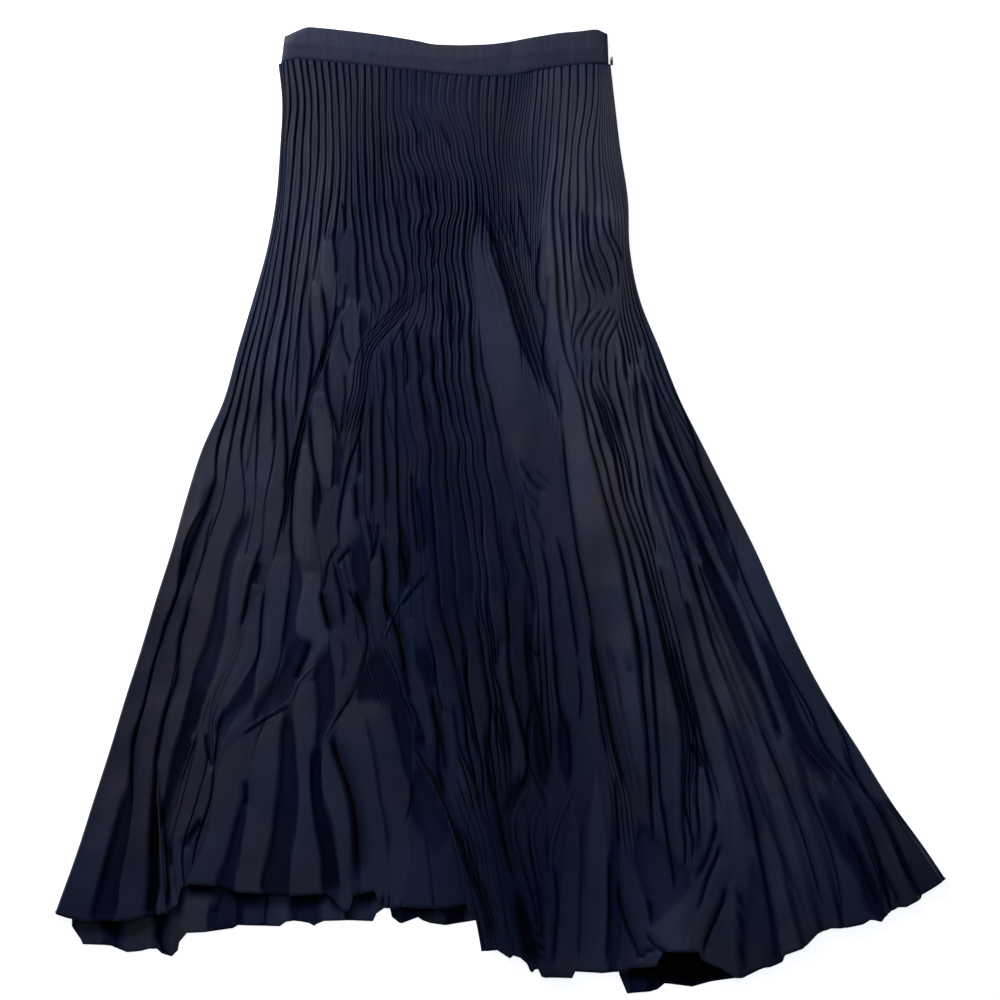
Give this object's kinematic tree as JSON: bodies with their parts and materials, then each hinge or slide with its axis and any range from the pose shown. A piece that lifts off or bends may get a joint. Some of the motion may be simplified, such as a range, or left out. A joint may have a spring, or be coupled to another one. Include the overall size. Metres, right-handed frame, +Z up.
{
  "type": "pleated midi skirt, laid flat",
  "caption": "Sunray-pleated midi skirt lying flat on its back panel, with a plain waistband, a side zip and a flared, uneven hem.",
  "frame": {"origin": "on the surface that the skirt lies on, under the middle of its box", "axes": "+Z up, +Y from the hem to the waist, +X to the side of the zip"},
  "size_m": [0.8877, 0.9657, 0.026],
  "materials": {
    "pleated_cloth": "soft satin-backed crepe, dark navy",
    "band_cloth": "the same cloth over interfacing, dark navy",
    "slider_metal": "grey metal"
  },
  "bodies": {
    "root": {"front_panel": "pleated_cloth", "back_panel": "pleated_cloth", "waistband_front": "band_cloth", "waistband_back": "band_cloth", "zip_slider": "slider_metal"}
  },
  "joints": []
}
